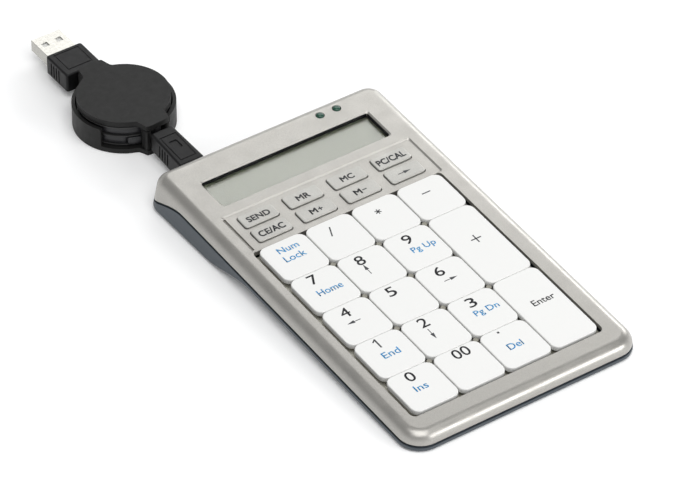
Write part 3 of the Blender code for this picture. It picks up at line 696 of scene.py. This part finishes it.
def key_gap_shade_studs():
    """Painted shade: olive-grey studs standing where four keys meet, clear of their rounded corners,
    in place of the shaded plate seen in the gaps.
    """
    across = [deck_box("key_" + name)[1].x + HALF_GAP_ACROSS for name in STUD_COLUMNS]
    along = [deck_box("key_" + name)[0].y - HALF_GAP_ALONG for name in STUD_ROWS]
    studs = []
    for column, x in enumerate(across):
        for row, y in enumerate(along):
            if column < STUD_FULL_COLUMNS or row in STUD_LAST_COLUMN_ROWS:
                place = DECK @ Matrix.Translation((x, y, STUD_MIDDLE))
                stud = bmesh.new()
                bmesh.ops.create_cone(stud, cap_ends=True, segments=20, radius1=STUD_LOW_RADIUS,
                                      radius2=STUD_TOP_RADIUS, depth=STUD_HEIGHT, matrix=place)
                studs.append(stud)
    piece = add_piece("key_gap_shade_studs", joined(studs), "stud", "case")
    round_edges(piece, 0.2 * MM, 2)


# ---- case -----------------------------------------------------------------------------------
PANEL_SLIT = (mm(-39.1, 27.6, -1.15), mm(-38.2, 46.2, 1.0))
LABEL_HALF = 26 * MM
LABEL_FRONT = -40 * MM
LABEL_REAR = -12 * MM
LABEL_TOP = -6.2 * MM
LABEL_CORNER = 2 * MM
CUT_PAST = 20 * MM
CROSS_ARM = 1.2 * MM
CROSS_HALF_WIDTH = 0.25 * MM
CROSS_DEPTH = 0.45 * MM
CORNERS = ("rear_left", "rear_right", "front_left", "front_right")

# painted shade: dark strips standing in for the shadow on the display recess's rear and right walls,
# in deck coordinates
LCD_SHADE_STRIPS = {
    "rear": (mm(-35.0, 66.1, -1.85), mm(35.05, 66.35, -0.55)),
    "right": (mm(34.8, 52.6, -1.85), mm(35.05, 66.1, -0.55)),
}


def case():
    slit = box(*PANEL_SLIT, matrix=DECK)
    refine("top_case", "silver", 0.2 * MM, 3, cutters=[slit])
    low = deck_box("bottom_case")[0]
    recess = box((-LABEL_HALF, LABEL_FRONT, low.z - CUT_PAST), (LABEL_HALF, LABEL_REAR, LABEL_TOP),
                 LABEL_CORNER, 5, DECK)
    refine("bottom_case", "base", 0.2 * MM, 2, cutters=[recess])
    arms = ((CROSS_ARM, CROSS_HALF_WIDTH), (CROSS_HALF_WIDTH, CROSS_ARM))
    for corner in CORNERS:
        node = "case_screw_" + corner
        low, high = deck_box(node)
        x = (low.x + high.x) / 2
        y = (low.y + high.y) / 2
        cross = [box((x - a, y - b, low.z - 1 * MM), (x + a, y + b, low.z + CROSS_DEPTH), matrix=DECK)
                 for a, b in arms]
        refine(node, "steel", 0.12 * MM, 2, cutters=cross)
    for corner in CORNERS:
        refine("foot_" + corner, "rubber", 0.1 * MM, 2)


def display_and_lamps():
    # painted shade: these dark strips darken the display recess's rear and right walls, where shadow
    # falls
    for name, (low, high) in LCD_SHADE_STRIPS.items():
        strip = add_piece("lcd_shade_strip_" + name, box(low, high, matrix=DECK), "mould", "case")
        round_edges(strip, 0.04 * MM, 2)
    refine("lcd_window", "glass", 0.12 * MM, 2)
    paint("lcd_panel", "display")
    for side in ("left", "right"):
        refine("led_" + side, "led", 0.1 * MM, 2, angle=40)


def inside():
    for node, mat in (("main_board", "board"), ("controller_chip", "chip"), ("key_backplate", "plate"),
                      ("key_membrane", "film"), ("key_dome_sheet", "dome"),
                      ("function_dome_sheet", "dome"), ("reel_power_spring", "spring")):
        paint(node, mat)
    refine("mini_usb_socket", "tin", 0.12 * MM, 2)


# ---- plugs ------------------------------------------------------------------------------------
# outline groove in a mould's top face: half width, distance from each end, line width, depth
USB_OUTLINE = mm(5.2, 2.6, 1.6, 0.6, 0.18)
MINI_OUTLINE = mm(3.4, 2.4, 4.0, 0.5, 0.2)
# grooves in a mould's sides: half width, half height, first place, pitch, groove width, depth
USB_RIBS = mm(7.4, 2.8, 5.2, 1.7, 0.7, 0.5)
MINI_RIBS = mm(4.8, 2.6, 8.2, 1.8, 0.7, 0.45)
RIB_COUNT = 4
THUMB_HALF = 1.6 * MM       # sunk mark in the mini mould's outline
THUMB_FRONT = 8.5 * MM
THUMB_REAR = 13.0 * MM
THUMB_DEPTH = 0.35 * MM
THUMB_CORNER = 0.6 * MM
CONTACT_PLACES = mm(-3.5, -1.0, 1.0, 3.5)
CONTACT_HALF = 0.5 * MM


def outline_groove(outline, length, top, matrix):
    """Cutters of a shallow rectangular groove in a mould's top face."""
    half_x, front, rear, wide, deep = outline
    rear_y = length - rear
    sides = [((-half_x, front), (wide - half_x, rear_y)), ((half_x - wide, front), (half_x, rear_y)),
             ((-half_x, rear_y - wide), (half_x, rear_y)), ((-half_x, front), (half_x, front + wide))]
    return [box((*a, top - deep), (*b, top + 1 * MM), matrix=matrix) for a, b in sides]


def side_ribs(ribs, matrix):
    """Upright finger grooves on both sides of a mould."""
    half_x, half_z, first_y, pitch, wide, deep = ribs
    found = []
    for sign in (-1, 1):
        for i in range(RIB_COUNT):
            y = first_y + i * pitch
            x_in = sign * (half_x - deep)
            x_out = sign * (half_x + 1 * MM)
            found.append(box((min(x_in, x_out), y, -half_z), (max(x_in, x_out), y + wide, half_z),
                             matrix=matrix))
    return found


def usb_plug():
    low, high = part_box("usb_a_overmould")
    centre = (low + high) / 2
    place = Matrix.Translation((centre.x, low.y, centre.z))
    cuts = outline_groove(USB_OUTLINE, high.y - low.y, (high.z - low.z) / 2, place)
    cuts += side_ribs(USB_RIBS, place)
    refine("usb_a_overmould", "mould", 0.15 * MM, 2, cutters=cuts)
    refine("usb_a_shell", "nickel", 0.28 * MM, 3)
    refine("usb_a_tongue", "tongue", 0.1 * MM, 2)
    low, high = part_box("usb_a_tongue")
    middle = (low.x + high.x) / 2
    contacts = [box((middle + x - CONTACT_HALF, low.y + 1.2 * MM, low.z - 0.12 * MM),
                    (middle + x + CONTACT_HALF, high.y - 0.9 * MM, low.z + 0.05 * MM))
                for x in CONTACT_PLACES]
    contact = add_piece("usb_a_contacts", joined(contacts), "gold", "usb_plug", smooth=False)
    round_edges(contact, 0.04 * MM, 1)


def mini_plug():
    low, high = deck_box("mini_b_overmould")
    middle = (low + high) / 2
    place = DECK @ Matrix.Translation((middle.x, low.y, middle.z))
    top = (high.z - low.z) / 2
    cuts = outline_groove(MINI_OUTLINE, high.y - low.y, top, place)
    cuts += [box((-THUMB_HALF, THUMB_FRONT, top - THUMB_DEPTH), (THUMB_HALF, THUMB_REAR, top + 1 * MM),
                 THUMB_CORNER, 4, place)]
    cuts += side_ribs(MINI_RIBS, place)
    refine("mini_b_overmould", "mould", 0.15 * MM, 2, cutters=cuts)
    refine("mini_b_shell", "nickel", 0.12 * MM, 2)


def reel():
    refine("reel_top_shell", "reel", 0.1 * MM, 2)
    refine("reel_bottom_shell", "reel", 0.06 * MM, 1, angle=50)
    refine("reel_spool", "spool", 0.1 * MM, 2)


# ---- build ---------------------------------------------------------------------------------------
make_materials()
camera()
studio()
cables()
case()
display_and_lamps()
inside()
keys()
function_keys()
key_gap_shade_studs()
usb_plug()
mini_plug()
reel()

bpy.context.view_layer.update()
